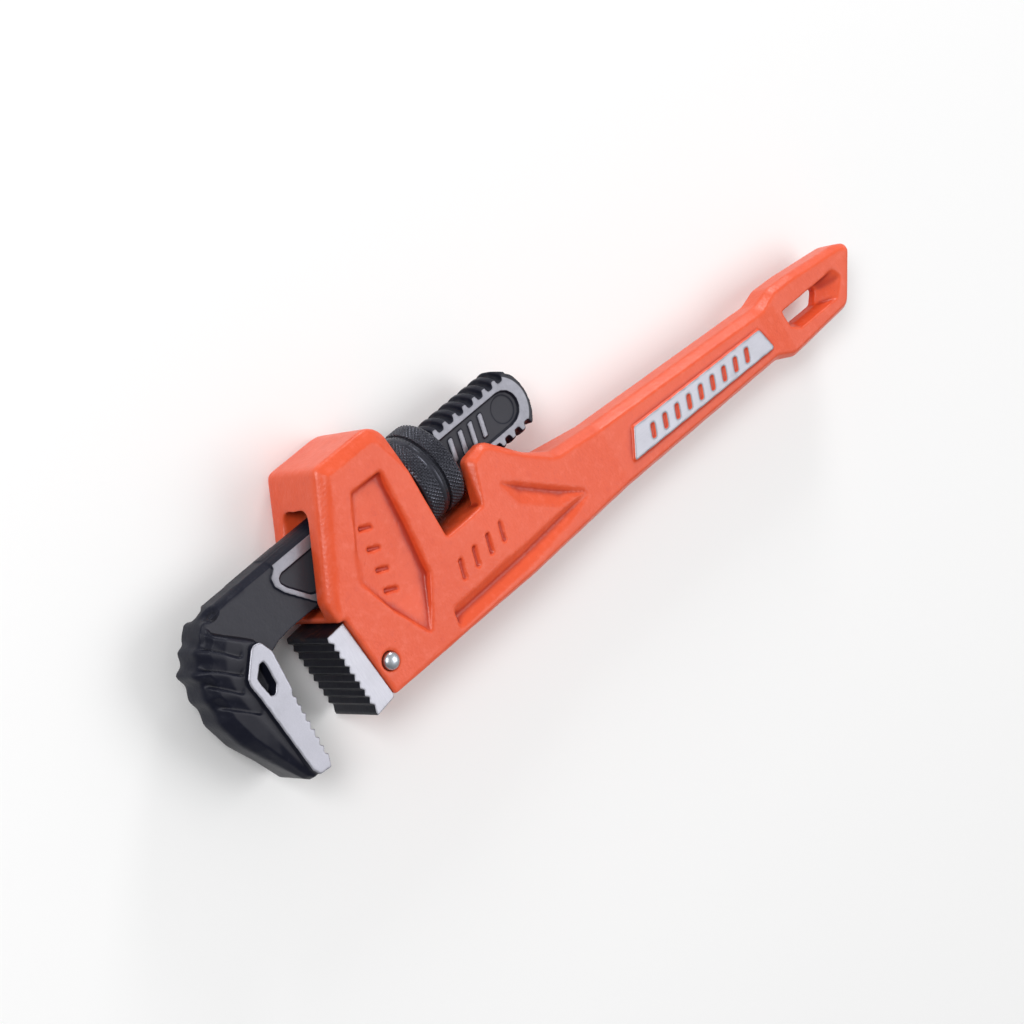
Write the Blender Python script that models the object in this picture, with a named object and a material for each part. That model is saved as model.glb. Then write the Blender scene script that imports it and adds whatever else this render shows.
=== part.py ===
"""Pipe wrench lying on its side: +X towards the jaws, +Y the way the jaw tips point, +Z the thickness.

Every size is in millimetres in the constants and is turned into metres where the meshes are made.
The model is laid out around the nut: the shank's axis is the line y = 0, z = 0, and x = 0 is
the heel jaw's seat. The whole wrench is moved at the end so that it rests on z = 0.
"""
import math

import bmesh
import bpy
from mathutils import Matrix, Vector

MM = 0.001

# ---- clearances ----
TOUCH_GAP = 0.3          # between pieces that touch
SIDE_CLEARANCE = 0.7     # shank to channel, each side
THREAD_CLEARANCE = 0.4   # shank thread to nut thread, radial
NUT_END_CLEARANCE = 0.8  # nut to window, each end

# ---- shank and thread ----
THREAD_RADIUS = 12.3
THREAD_DEPTH = 1.6
THREAD_PITCH = 5.0
GROOVE_MOUTH = 3.1
GROOVE_FLOOR = 2.1
RIDGE_BASE = 2.3
RIDGE_TIP = 1.4
SHANK_HALF = 6.8
SHANK_END_X = -116.4
SHANK_END_ROUND = 11.5
THREAD_START_X = -31.0
PANEL_DEPTH = 0.9
NECK_HALF = 6.2
NECK_RADIUS = 11.9
NECK_CHAMFER = 1.6

# ---- adjusting nut ----
NUT_RADIUS = 16.2
NUT_LENGTH = 16.4
NUT_GROOVE_FROM_REAR = 7.0
NUT_GROOVE_WIDTH = 1.0
NUT_GROOVE_DEPTH = 0.8

# ---- casting: housing, window, root ----
WINDOW_FRONT_X = -55.3
WINDOW_LENGTH = NUT_LENGTH + 2 * NUT_END_CLEARANCE
WINDOW_REAR_X = WINDOW_FRONT_X - WINDOW_LENGTH
NUT_FLOOR_CLEARANCE = 2.0
WINDOW_FLOOR_Y = NUT_RADIUS + NUT_FLOOR_CLEARANCE
HOUSING_BACK_Y = -28.2
HOUSING_HALF = 16.5
HOUSING_SIDE_SLOPE = 0.041
HOUSING_SLOPE_FROM_Y = -19.5
CHANNEL_BACK_Y = -(THREAD_RADIUS + 4.5)
CHANNEL_FRONT_Y = THREAD_RADIUS + 2.1
CHANNEL_HALF = SHANK_HALF + SIDE_CLEARANCE
CHANNEL_CORNER = 3.5
NOSE_X = -4.7

# ---- casting: handle ----
HANDLE_START_X = -135.0
HANDLE_END_X = -222.0
HANDLE_HALF = 8.0
ROOT_SLOPE = 0.1         # the root's half thickness, by the distance from the handle
END_START_X = -232.0
END_HALF = 7.0
OVERALL_END_X = -282.4
PAD_HEIGHT = 1.2
PAD_TAPER = 0.5
PAD_MARK_DEPTH = 0.7
WEB_MARK_DEPTH = 0.9

# ---- heel jaw ----
JAW_HALF = 12.7
HEEL_FACE_X = 0.9
HEEL_TOP_Y = 17.8
HEEL_BOTTOM_Y = 49.6
HEEL_SEAT_X = -7.0
HEEL_SEAT_SLOPE = 0.06
HEEL_FACE_SLOPE = 0.028
TOOTH_PITCH = 3.05
TOOTH_DEPTH = 1.2
HEEL_TEETH = 8
HEEL_FIRST_TOOTH_Y = 21.4
TONGUE_HALF = 4.0
TONGUE_DEPTH = 13.0
TONGUE_TOP_Y = 27.0
TONGUE_BOTTOM_Y = 48.0
PIN_RADIUS = 3.0
PIN_X = -13.6
PIN_Y = 37.8
PIN_DOME = 1.5
PIN_TIP_RADIUS = 0.35

# ---- hook jaw head ----
JAW_OPENING = 19.2
HOOK_FACE_X = HEEL_FACE_X + JAW_OPENING
HOOK_FACE_SLOPE = 0.064
HOOK_FIRST_TOOTH_Y = 23.2
HOOK_TEETH = 8
HEAD_HALF = 10.6
HEAD_BEVEL_DROP = 5.4

# ---- springs ----
LEAF_THICKNESS = 0.6
LEAF_HALF_WIDTH = 4.5
LEAF_REAR_X = -51.5
LEAF_FRONT_X = -12.0
LEAF_POCKET_DEPTH = 1.6
RIVET_X = -47.5
RIVET_RADIUS = 1.5
RIVET_HEAD_RADIUS = 2.6
RIVET_HEAD_HEIGHT = 0.8
RIVET_LENGTH = 6.0
COIL_X = -35.0
COIL_RADIUS = 3.1
COIL_WIRE_RADIUS = 0.5
COIL_TURNS = 5
COIL_POCKET_DEPTH = 8.4

ROUND_STEPS = 48
FLATNESS = 0.001


# ---------------------------------------------------------------- helpers

def clear_scene():
    for old in list(bpy.data.objects):
        bpy.data.objects.remove(old, do_unlink=True)


def material(name, color, metallic, roughness):
    mat = bpy.data.materials.new(name)
    mat.use_nodes = True
    shader = mat.node_tree.nodes["Principled BSDF"]
    shader.inputs["Base Color"].default_value = (*color, 1.0)
    shader.inputs["Metallic"].default_value = metallic
    shader.inputs["Roughness"].default_value = roughness
    return mat


def split_bent_faces(bm):
    """Cut every face that isn't flat into triangles, so that each Boolean reads it the same way."""
    bent = []
    for face in bm.faces:
        start = face.verts[0].co
        if max(abs(face.normal.dot(vert.co - start)) for vert in face.verts) > FLATNESS:
            bent.append(face)
    bmesh.ops.triangulate(bm, faces=bent)


def object_from(bm, name, mat=None, origin=(0.0, 0.0, 0.0)):
    """Turn a bmesh in millimetres into an object in metres with its origin at `origin`."""
    bmesh.ops.recalc_face_normals(bm, faces=bm.faces)
    split_bent_faces(bm)
    offset = Matrix.Translation(-Vector(origin))
    bmesh.ops.transform(bm, matrix=Matrix.Scale(MM, 4) @ offset, verts=bm.verts)
    mesh = bpy.data.meshes.new(name)
    bm.to_mesh(mesh)
    bm.free()
    obj = bpy.data.objects.new(name, mesh)
    obj.location = Vector(origin) * MM
    bpy.context.collection.objects.link(obj)
    if mat is not None:
        mesh.materials.append(mat)
    return obj


def cutter_from(bm, name):
    cutter = object_from(bm, name)
    cutter.hide_render = True
    cutter.display_type = "WIRE"
    return cutter


def boolean(obj, cutter, operation="DIFFERENCE"):
    mod = obj.modifiers.new(cutter.name, "BOOLEAN")
    mod.operation = operation
    mod.solver = "EXACT"
    mod.object = cutter
    return mod


def shade(obj, degrees=35.0):
    obj.data.shade_smooth()
    obj.data.set_sharp_from_angle(angle=math.radians(degrees))


def rounded(corners):
    """Round an outline's corners.

    A corner is (x, y, radius, inset, drop); the result has (x, y, inset, drop).
    """
    points = []
    count = len(corners)
    for index, (x, y, radius, inset, drop) in enumerate(corners):
        here = Vector((x, y))
        before = Vector(corners[index - 1][:2]) - here
        after = Vector(corners[(index + 1) % count][:2]) - here
        if radius <= 0.0:
            points.append((x, y, inset, drop))
            continue
        half = before.angle(after) / 2.0
        reach = radius / math.tan(half)
        reach = min(reach, 0.48 * before.length, 0.48 * after.length)
        radius = reach * math.tan(half)
        start = here + before.normalized() * reach
        centre = here + (before.normalized() + after.normalized()).normalized() * (radius / math.sin(half))
        turn = math.pi - 2.0 * half
        steps = max(2, math.ceil(math.degrees(turn) / 15.0))
        side = before.x * after.y - before.y * after.x
        spin = turn if side < 0.0 else -turn
        arm = start - centre
        for step in range(steps + 1):
            angle = spin * step / steps
            offset = Vector((arm.x * math.cos(angle) - arm.y * math.sin(angle),
                             arm.x * math.sin(angle) + arm.y * math.cos(angle)))
            point = centre + offset
            points.append((point.x, point.y, inset, drop))
    return points


def signed_area(points):
    total = 0.0
    for index, point in enumerate(points):
        nxt = points[(index + 1) % len(points)]
        total += point[0] * nxt[1] - nxt[0] * point[1]
    return total / 2.0


def inset_points(points):
    """Move each outline point inwards along its mitre by its own inset."""
    facing = 1.0 if signed_area(points) > 0.0 else -1.0
    result = []
    for index, (x, y, inset, _drop) in enumerate(points):
        here = Vector((x, y))
        before = here - Vector(points[index - 1][:2])
        after = Vector(points[(index + 1) % len(points)][:2]) - here
        normal_a = Vector((-before.y, before.x)).normalized() * facing
        normal_b = Vector((-after.y, after.x)).normalized() * facing
        mitre = (normal_a + normal_b) / (1.0 + normal_a.dot(normal_b))
        result.append(here + mitre * inset)
    return result


def bevelled_plate(points, half, creases=(), height=None):
    """Close a plate around an outline, with its rim lowered by each point's drop on both sides.

    creases are vertical planes (point, normal) along which the sides may bend, and height gives
    the half thickness at a place; it is linear between creases.
    """
    bm = bmesh.new()
    inner = inset_points(points)
    loops = []
    for sign in (1.0, -1.0):
        rim = [bm.verts.new((x, y, sign * (half - drop))) for x, y, _inset, drop in points]
        top = [bm.verts.new((p.x, p.y, sign * half)) for p in inner]
        loops.append((rim, top))
    count = len(points)
    for rim, top in loops:
        bm.faces.new(top)
        for i in range(count):
            j = (i + 1) % count
            bm.faces.new((rim[i], rim[j], top[j], top[i]))
    for i in range(count):
        j = (i + 1) % count
        bm.faces.new((loops[0][0][i], loops[0][0][j], loops[1][0][j], loops[1][0][i]))
    for place, normal in creases:
        geometry = bm.verts[:] + bm.edges[:] + bm.faces[:]
        bmesh.ops.bisect_plane(bm, geom=geometry, plane_co=place, plane_no=normal, dist=1e-4)
    if height is not None:
        for vert in bm.verts:
            side = 1.0 if vert.co.z > 0.0 else -1.0
            vert.co.z += side * (height(vert.co.x, vert.co.y) - half)
    return bm


def prism(points, low, high):
    """Extrude an (x, y) outline from z = low to z = high."""
    bm = bmesh.new()
    bottom = [bm.verts.new((p[0], p[1], low)) for p in points]
    top = [bm.verts.new((p[0], p[1], high)) for p in points]
    bm.faces.new(bottom)
    bm.faces.new(top)
    for i in range(len(points)):
        j = (i + 1) % len(points)
        bm.faces.new((bottom[i], bottom[j], top[j], top[i]))
    return bm


def tapered_prism(points, inset, low, high, low_height=None):
    """Extrude an outline whose face at z = low is inset, and may follow a slope."""
    bm = bmesh.new()
    inner = inset_points([(p[0], p[1], inset, 0.0) for p in points])
    bottom = []
    for p in inner:
        z = low if low_height is None else low_height(p.x, p.y)
        bottom.append(bm.verts.new((p.x, p.y, z)))
    top = [bm.verts.new((p[0], p[1], high)) for p in points]
    bm.faces.new(bottom)
    bm.faces.new(top)
    for i in range(len(points)):
        j = (i + 1) % len(points)
        bm.faces.new((bottom[i], bottom[j], top[j], top[i]))
    return bm


def joined(parts):
    """Put separate bmeshes into one."""
    result = bmesh.new()
    for part in parts:
        mesh = bpy.data.meshes.new("part")
        bmesh.ops.recalc_face_normals(part, faces=part.faces)
        part.to_mesh(mesh)
        part.free()
        result.from_mesh(mesh)
        bpy.data.meshes.remove(mesh)
    return result


def both_sides(make):
    """Build a feature on the upper side and its mirror image on the lower side."""
    upper = make()
    lower = make()
    bmesh.ops.scale(lower, vec=(1.0, 1.0, -1.0), verts=lower.verts)
    bmesh.ops.reverse_faces(lower, faces=lower.faces)
    return joined([upper, lower])


def turned(profile, steps=ROUND_STEPS):
    """Turn a closed (x, radius) profile around the X axis."""
    bm = bmesh.new()
    rings = []
    for step in range(steps):
        angle = 2.0 * math.pi * step / steps
        rings.append([bm.verts.new((x, r * math.cos(angle), r * math.sin(angle))) for x, r in profile])
    for i in range(steps):
        ring, following = rings[i], rings[(i + 1) % steps]
        for k in range(len(profile)):
            m = (k + 1) % len(profile)
            bm.faces.new((ring[k], following[k], following[m], ring[m]))
    return bm


def cylinder(centre, axis, radius, length, steps=24):
    bm = bmesh.new()
    bmesh.ops.create_cone(bm, cap_ends=True, segments=steps, radius1=radius, radius2=radius, depth=length)
    turn = Vector((0.0, 0.0, 1.0)).rotation_difference(Vector(axis)).to_matrix().to_4x4()
    bmesh.ops.transform(bm, matrix=Matrix.Translation(Vector(centre)) @ turn, verts=bm.verts)
    return bm


def swept(sections):
    """Skin a row of equal sections, each a list of points, and cap both ends."""
    bm = bmesh.new()
    rings = [[bm.verts.new(p) for p in section] for section in sections]
    bm.faces.new(rings[0])
    bm.faces.new(rings[-1])
    for ring, following in zip(rings, rings[1:]):
        for k in range(len(ring)):
            m = (k + 1) % len(ring)
            bm.faces.new((ring[k], ring[m], following[m], following[k]))
    return bm


def helix_section(x, angle, wide, narrow, outer, inner):
    """A trapezium across a thread at one angle around the X axis; 0 points along +Y."""
    corners = ((x - wide / 2, outer), (x + wide / 2, outer), (x + narrow / 2, inner), (x - narrow / 2, inner))
    return [(cx, r * math.cos(angle), r * math.sin(angle)) for cx, r in corners]


# ---------------------------------------------------------------- casting

def front_face_x(y):
    """The housing's front face leans back from the nose to the housing's back."""
    lean = 0.555
    return NOSE_X - 0.3 - lean * max(0.0, 9.0 - y)


def seat_x(y):
    return HEEL_SEAT_X - TOUCH_GAP - HEEL_SEAT_SLOPE * (y - HEEL_TOP_Y)


def casting_half(x, y):
    """Half thickness: full at the housing, thinner towards the jaw tip, the handle and the end."""
    tilted = HOUSING_HALF - HOUSING_SIDE_SLOPE * (y - HOUSING_SLOPE_FROM_Y)
    if x >= HANDLE_START_X:
        ramp = HANDLE_HALF + (x - HANDLE_START_X) * ROOT_SLOPE
        return min(tilted, ramp)
    if x >= HANDLE_END_X:
        return HANDLE_HALF
    share = min(1.0, (HANDLE_END_X - x) / (HANDLE_END_X - END_START_X))
    return HANDLE_HALF + (END_HALF - HANDLE_HALF) * share


def casting_creases():
    """Vertical planes along which casting_half bends."""
    lines = [((x, 0.0, 0.0), (1.0, 0.0, 0.0)) for x in (HANDLE_START_X, HANDLE_END_X, END_START_X)]
    level = HOUSING_HALF + HOUSING_SIDE_SLOPE * HOUSING_SLOPE_FROM_Y - HANDLE_HALF
    x_at_zero = HANDLE_START_X + level / ROOT_SLOPE
    lines.append(((x_at_zero, 0.0, 0.0), (ROOT_SLOPE, HOUSING_SIDE_SLOPE, 0.0)))
    return lines


def casting_outline():
    """Corners as (x, y, radius, inset, drop), from the nose over the back to the handle's end and back."""
    back = HOUSING_BACK_Y
    floor = WINDOW_FLOOR_Y
    return rounded([
        (NOSE_X, CHANNEL_FRONT_Y + 2.4, 0.8, 1.0, 1.0),
        (NOSE_X, 9.0, 2.0, 3.6, 2.2),
        (front_face_x(back), back, 3.0, 4.6, 2.6),
        (WINDOW_FRONT_X, back, 8.5, 4.6, 2.6),
        (WINDOW_FRONT_X, -8.0, 0.0, 0.8, 1.0),
        (WINDOW_FRONT_X, floor, 0.8, 0.6, 0.8),
        (WINDOW_REAR_X, floor, 0.8, 0.8, 1.0),
        (WINDOW_REAR_X - 4.6, 3.4, 3.0, 2.6, 2.4),
        (WINDOW_REAR_X - 14.5, 1.9, 6.0, 2.2, 2.0),
        (WINDOW_REAR_X - 27.5, 15.2, 14.0, 1.6, 1.6),
        (-112.5, 22.2, 6.0, 2.8, 3.4),
        (HANDLE_START_X, 25.6, 0.0, 3.0, 3.8),
        (-226.5, 33.4, 6.0, 3.0, 3.6),
        (-235.5, 31.4, 6.0, 2.6, 2.8),
        (-247.0, 32.2, 8.0, 2.4, 2.6),
        (-275.0, 35.8, 7.0, 2.4, 2.6),
        (OVERALL_END_X, 39.0, 5.0, 2.2, 2.4),
        (-266.5, 58.2, 6.0, 1.8, 2.2),
        (-231.5, 59.0, 5.0, 1.8, 2.2),
        (-222.0, 54.8, 5.0, 2.0, 2.6),
        (HANDLE_START_X, 52.2, 0.0, 2.0, 2.6),
        (-60.0, 49.5, 0.0, 1.4, 1.6),
        (seat_x(48.0), 48.0, 1.0, 0.6, 0.8),
        (seat_x(CHANNEL_FRONT_Y + 2.4), CHANNEL_FRONT_Y + 2.4, 0.0, 0.3, 0.4),
    ])


def channel_cutter():
    """The shank's way through the housing, open at the nose and at the window, with a round back."""
    corner = CHANNEL_CORNER
    points = []
    for centre_z, start in ((CHANNEL_HALF - corner, 0.0), (-(CHANNEL_HALF - corner), 90.0)):
        for step in range(5):
            angle = math.radians(start + 90.0 * step / 4)
            points.append((CHANNEL_BACK_Y + corner - corner * math.sin(angle),
                           centre_z + corner * math.cos(angle)))
    points.append((CHANNEL_FRONT_Y, -CHANNEL_HALF))
    points.append((CHANNEL_FRONT_Y, CHANNEL_HALF))
    sections = [[(x, y, z) for y, z in points] for x in (WINDOW_FRONT_X - 1.0, NOSE_X + 3.0)]
    return swept(sections)


def saddle_cutter():
    """The slot between the two lugs behind the window."""
    low_x = WINDOW_REAR_X - 48.0
    points = [(low_x, -2.0), (WINDOW_REAR_X + 1.0, -2.0),
              (WINDOW_REAR_X + 1.0, WINDOW_FLOOR_Y), (low_x, WINDOW_FLOOR_Y)]
    return prism(points, -CHANNEL_HALF, CHANNEL_HALF)


def tongue_outline(gap):
    """The heel jaw's tongue, or with a gap the mortise that takes it."""
    front = HEEL_SEAT_X + 3.0
    rear = HEEL_SEAT_X - TONGUE_DEPTH - gap
    return [(front, TONGUE_TOP_Y - gap), (rear, TONGUE_TOP_Y + 3.0 - gap),
            (rear, TONGUE_BOTTOM_Y - 5.0 + gap), (front, TONGUE_BOTTOM_Y - 2.0 + gap)]


def panel_floor(x, y):
    """The sunk panel's floor falls away towards the window and comes up again at its tip."""
    level = casting_half(-20.0, y)
    reach = (-17.0 - 0.45 * (10.0 - y)) - x
    fade = max(0.0, min(1.0, (43.0 - y) / 20.0))
    return level - 0.5 - fade * 2.6 * max(0.0, min(1.0, reach / 22.0))


def panel_cutter():
    outline = [(-31.5, -16.2), (-46.6, -15.0), (-45.6, 6.0), (-43.6, 24.2), (-38.2, 33.0), (-31.6, 43.0),
               (-23.0, 26.0), (-16.6, 10.0)]
    return tapered_prism(outline, 1.6, 0.0, HOUSING_HALF + 2.0, panel_floor)


def groove(stations):
    """Cut a V in the casting's side.

    A station is (edge, bottom, far edge, depth): three (x, y) places across the V.

    The V's sides are carried on above the casting's side, so the cut's edges fall on it.
    """
    reach = 1.6
    sections = []
    for edge, bottom, far_edge, depth in stations:
        low = casting_half(*bottom) - depth
        root = Vector((*bottom, low))
        section = [root]
        for place in (edge, far_edge):
            section.append(root + (Vector((*place, casting_half(*place))) - root) * reach)
        sections.append(section)
    return swept(sections)


def trough_cutter():
    """The trough along the root: a steep side towards the web and a gentle rise to the front flange."""
    return groove([
        ((-43.6, 38.6), (-42.8, 42.2), (-42.2, 46.8), 2.3),
        ((-78.0, 39.1), (-77.8, 42.2), (-77.6, 46.4), 2.0),
        ((-104.0, 39.8), (-103.6, 42.0), (-103.0, 45.4), 1.5),
        ((-115.6, 41.0), (-115.6, 41.9), (-115.6, 43.2), 0.5),
    ])


def root_groove_cutter():
    """The crease under the lug and the handle's back edge, which rises gently to the web."""
    return groove([
        ((-85.0, 16.4), (-84.6, 17.0), (-84.0, 17.8), 0.5),
        ((-92.0, 21.6), (-91.2, 23.0), (-87.2, 27.6), 1.6),
        ((-106.0, 32.8), (-105.4, 34.4), (-101.6, 38.4), 1.6),
        ((-115.8, 40.4), (-115.3, 41.2), (-114.2, 41.8), 0.7),
    ])


def slanted_bars(start, end, count, size, lean, height):
    """A row of plain slanted bars.

    start and end are (x, y, z of the bar's underside), size is (width, length).

    lean moves each bar's top along the row.
    """
    bars = []
    width, tall = size
    first, last = Vector(start), Vector(end)
    along = (last - first).xy.normalized()
    across = Vector((-along.y, along.x))
    for index in range(count):
        centre = first.lerp(last, index / (count - 1))
        corners = []
        for side_along, side_across in ((-1, -1), (1, -1), (1, 1), (-1, 1)):
            place = centre.xy + along * (side_along * width / 2 + side_across * lean / 2)
            place += across * (side_across * tall / 2)
            corners.append((place.x, place.y))
        bars.append(prism(corners, centre.z, centre.z + height))
    return joined(bars)


def pad_marks():
    """A row of plain bars sunk in the ground pad."""
    floor = HANDLE_HALF + PAD_HEIGHT - PAD_MARK_DEPTH
    return slanted_bars((-154.0, 41.4, floor), (-208.0, 44.1, floor), 9, (2.2, 5.2), 2.0, 2.0)


def web_marks():
    """A row of plain bars on the web, sunk at the middle of the row by their depth."""
    ends = []
    for x, y in ((-54.0, 30.6), (-75.0, 30.0)):
        ends.append((x, y, casting_half(x, y) - WEB_MARK_DEPTH))
    return slanted_bars(*ends, 4, (1.8, 7.0), 2.4, 3.0)


def panel_marks():
    """A row of plain bars on the sunk panel's floor."""
    ends = []
    for x, y in ((-31.0, -2.0), (-28.0, 20.0)):
        ends.append((x, y, panel_floor(x, y) - WEB_MARK_DEPTH))
    return slanted_bars(*ends, 4, (1.7, 5.6), 1.6, 3.0)


def hang_hole_outline():
    return rounded([
        (-236.0, 42.6, 1.5, 0, 0), (-236.6, 47.4, 1.5, 0, 0), (-240.6, 49.8, 1.0, 0, 0),
        (-254.5, 50.2, 1.2, 0, 0), (-258.6, 46.0, 1.2, 0, 0), (-257.6, 43.4, 1.2, 0, 0),
    ])


def hang_funnel_cutter():
    """The hang hole's mouth widens towards the handle's end, on both sides."""
    outline = [(-234.6, 41.4), (-235.2, 48.4), (-239.6, 51.6), (-262.5, 52.4), (-269.0, 46.4), (-267.0, 42.4)]
    narrow = [(-236.4, 43.0), (-236.8, 47.2), (-240.8, 49.4), (-254.2, 49.8), (-258.2, 45.8), (-257.2, 43.8)]
    bm = bmesh.new()
    bottom = [bm.verts.new((x, y, 1.2)) for x, y in narrow]
    middle = [bm.verts.new((x, y, END_HALF - 0.4)) for x, y in outline]
    top = [bm.verts.new((x, y, END_HALF + 2.0)) for x, y in outline]
    bm.faces.new(bottom)
    bm.faces.new(top)
    for lower, upper in ((bottom, middle), (middle, top)):
        for i in range(len(lower)):
            j = (i + 1) % len(lower)
            bm.faces.new((lower[i], lower[j], upper[j], upper[i]))
    return bm


def pad_body():
    """The raised pad that is ground flat on the handle's side."""
    outline = rounded([
        (-139.6, 46.0, 1.0, PAD_TAPER, 0), (-146.9, 34.9, 1.0, PAD_TAPER, 0),
        (-219.3, 39.3, 1.0, PAD_TAPER, 0), (-222.4, 49.9, 1.5, PAD_TAPER, 0),
    ])
    bm = bmesh.new()
    inner = inset_points(outline)
    bottom = [bm.verts.new((p[0], p[1], HANDLE_HALF - 2.0)) for p in outline]
    top = [bm.verts.new((p.x, p.y, HANDLE_HALF + PAD_HEIGHT)) for p in inner]
    bm.faces.new(bottom)
    bm.faces.new(top)
    for i in range(len(outline)):
        j = (i + 1) % len(outline)
        bm.faces.new((bottom[i], bottom[j], top[j], top[i]))
    return bm


def leaf_pocket():
    low, high = LEAF_REAR_X - 1.0, LEAF_FRONT_X + 1.5
    half = LEAF_HALF_WIDTH + 0.6
    points = [(low, CHANNEL_FRONT_Y - 1.0), (high, CHANNEL_FRONT_Y - 1.0),
              (high, CHANNEL_FRONT_Y + LEAF_POCKET_DEPTH), (low, CHANNEL_FRONT_Y + LEAF_POCKET_DEPTH)]
    return prism(points, -half, half)


def rivet_hole():
    top = CHANNEL_FRONT_Y + LEAF_POCKET_DEPTH
    length = RIVET_LENGTH + 1.0
    return cylinder((RIVET_X, top + length / 2 - 0.5, 0.0), (0, 1, 0), RIVET_RADIUS + TOUCH_GAP, length, 16)


def coil_pocket():
    length = COIL_POCKET_DEPTH + 1.0
    centre_y = CHANNEL_BACK_Y - COIL_POCKET_DEPTH + length / 2
    radius = COIL_RADIUS + COIL_WIRE_RADIUS + TOUCH_GAP
    return cylinder((COIL_X, centre_y, 0.0), (0, 1, 0), radius, length, 20)


def make_casting(mat):
    blank = bevelled_plate(casting_outline(), HOUSING_HALF, casting_creases(), casting_half)
    casting = object_from(blank, "handle_casting", mat)
    pad = cutter_from(both_sides(pad_body), "pad_add")
    boolean(pad, cutter_from(both_sides(pad_marks), "pad_marks_cut"))
    boolean(casting, pad, "UNION")
    mortise = prism(tongue_outline(TOUCH_GAP), -TONGUE_HALF - TOUCH_GAP, TONGUE_HALF + TOUCH_GAP)
    pin_hole = cylinder((PIN_X, PIN_Y, 0.0), (0, 0, 1), PIN_RADIUS + TOUCH_GAP, 2 * HOUSING_HALF + 4, 24)
    hang_hole = prism(hang_hole_outline(), -END_HALF - 2, END_HALF + 2)
    cutters = [
        ("web_marks_cut", both_sides(web_marks)),
        ("panel_cut", both_sides(panel_cutter)),
        ("panel_marks_cut", both_sides(panel_marks)),
        ("channel_cut", channel_cutter()),
        ("saddle_cut", saddle_cutter()),
        ("mortise_cut", mortise),
        ("pin_hole_cut", pin_hole),
        ("leaf_pocket_cut", leaf_pocket()),
        ("rivet_hole_cut", rivet_hole()),
        ("coil_pocket_cut", coil_pocket()),
        ("trough_cut", both_sides(trough_cutter)),
        ("root_groove_cut", both_sides(root_groove_cutter)),
        ("hang_hole_cut", hang_hole),
        ("hang_funnel_cut", both_sides(hang_funnel_cutter)),
    ]
    for name, bm in cutters:
        boolean(casting, cutter_from(bm, name))
    return casting


# ---------------------------------------------------------------- heel jaw

def tooth_line(first_y, count, face_x, slope, direction, root_share):
    """Points along a row of teeth: a root, a crest, a root and so on; direction is where crests point."""
    points = []
    for index in range(count):
        y = first_y + index * TOOTH_PITCH
        crest_y = y + root_share * TOOTH_PITCH
        points.append((face_x + slope * (y - first_y) - direction * TOOTH_DEPTH, y))
        points.append((face_x + slope * (crest_y - first_y), crest_y))
    last = first_y + count * TOOTH_PITCH
    points.append((face_x + slope * (last - first_y) - direction * TOOTH_DEPTH, last))
    return points


def heel_outline():
    teeth = tooth_line(HEEL_FIRST_TOOTH_Y, HEEL_TEETH, HEEL_FACE_X, -HEEL_FACE_SLOPE, 1.0, 0.57)
    seat_top = HEEL_SEAT_X
    seat_bottom = HEEL_SEAT_X - HEEL_SEAT_SLOPE * (HEEL_BOTTOM_Y - HEEL_TOP_Y)
    top = [
        (seat_top, HEEL_TOP_Y),
        (HEEL_FACE_X - 0.4, HEEL_TOP_Y + 0.4),
        (HEEL_FACE_X + 0.3, HEEL_TOP_Y + 2.0),
    ]
    tip = [(teeth[-1][0] + 1.0, teeth[-1][1] + 2.4), (teeth[-1][0] + 1.0, HEEL_BOTTOM_Y - 0.2)]
    return top + teeth + tip + [(seat_bottom + 0.6, HEEL_BOTTOM_Y - 1.2), (seat_bottom, HEEL_BOTTOM_Y - 2.4)]


def make_heel_jaw(mat):
    block = prism(heel_outline(), -JAW_HALF, JAW_HALF)
    jaw = object_from(block, "heel_jaw", mat)
    tongue = prism(tongue_outline(0.0), -TONGUE_HALF, TONGUE_HALF)
    boolean(jaw, cutter_from(tongue, "tongue_add"), "UNION")
    hole = cylinder((PIN_X, PIN_Y, 0.0), (0, 0, 1), PIN_RADIUS + TOUCH_GAP, 4 * TONGUE_HALF, 24)
    boolean(jaw, cutter_from(hole, "heel_pin_hole_cut"))
    return jaw


def make_heel_pin(mat):
    """A straight pin with domed ends that stand a little proud of the casting."""
    reach = casting_half(PIN_X, PIN_Y) + 0.4
    dome = []
    for degrees in (90.0, 72.5, 55.0, 37.5, 20.0):
        angle = math.radians(degrees)
        dome.append((reach + PIN_DOME * math.cos(angle), PIN_RADIUS * math.sin(angle)))
    dome.append((reach + PIN_DOME, PIN_TIP_RADIUS))
    profile = [(-along, radius) for along, radius in reversed(dome)] + dome
    bm = bmesh.new()
    steps = 24
    rings = []
    for along, radius in profile:
        ring = []
        for step in range(steps):
            angle = 2.0 * math.pi * step / steps
            place = (PIN_X + radius * math.cos(angle), PIN_Y + radius * math.sin(angle), along)
            ring.append(bm.verts.new(place))
        rings.append(ring)
    bm.faces.new(rings[0])
    bm.faces.new(rings[-1])
    for ring, following in zip(rings, rings[1:]):
        for k in range(steps):
            m = (k + 1) % steps
            bm.faces.new((ring[k], ring[m], following[m], following[k]))
    pin = object_from(bm, "heel_jaw_pin", mat, (PIN_X, PIN_Y, 0.0))
    shade(pin)
    return pin


# ---------------------------------------------------------------- hook jaw

def shank_outline():
    """Plan of the shank: a round rear end, and a slanted front end where its raised rim stops."""
    points = []
    centre_x = SHANK_END_X + SHANK_END_ROUND
    for step in range(13):
        angle = math.radians(90.0 + 180.0 * step / 12)
        radius = SHANK_END_ROUND
        points.append((centre_x + radius * math.cos(angle), radius * 1.2 * math.sin(angle)))
    points += [(0.6, -THREAD_RADIUS * 1.2), (0.6, -9.0), (3.2, -7.0), (3.6, -4.0), (1.7, -0.4), (-6.5, 9.2),
               (-6.5, THREAD_RADIUS * 1.2)]
    return points


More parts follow.
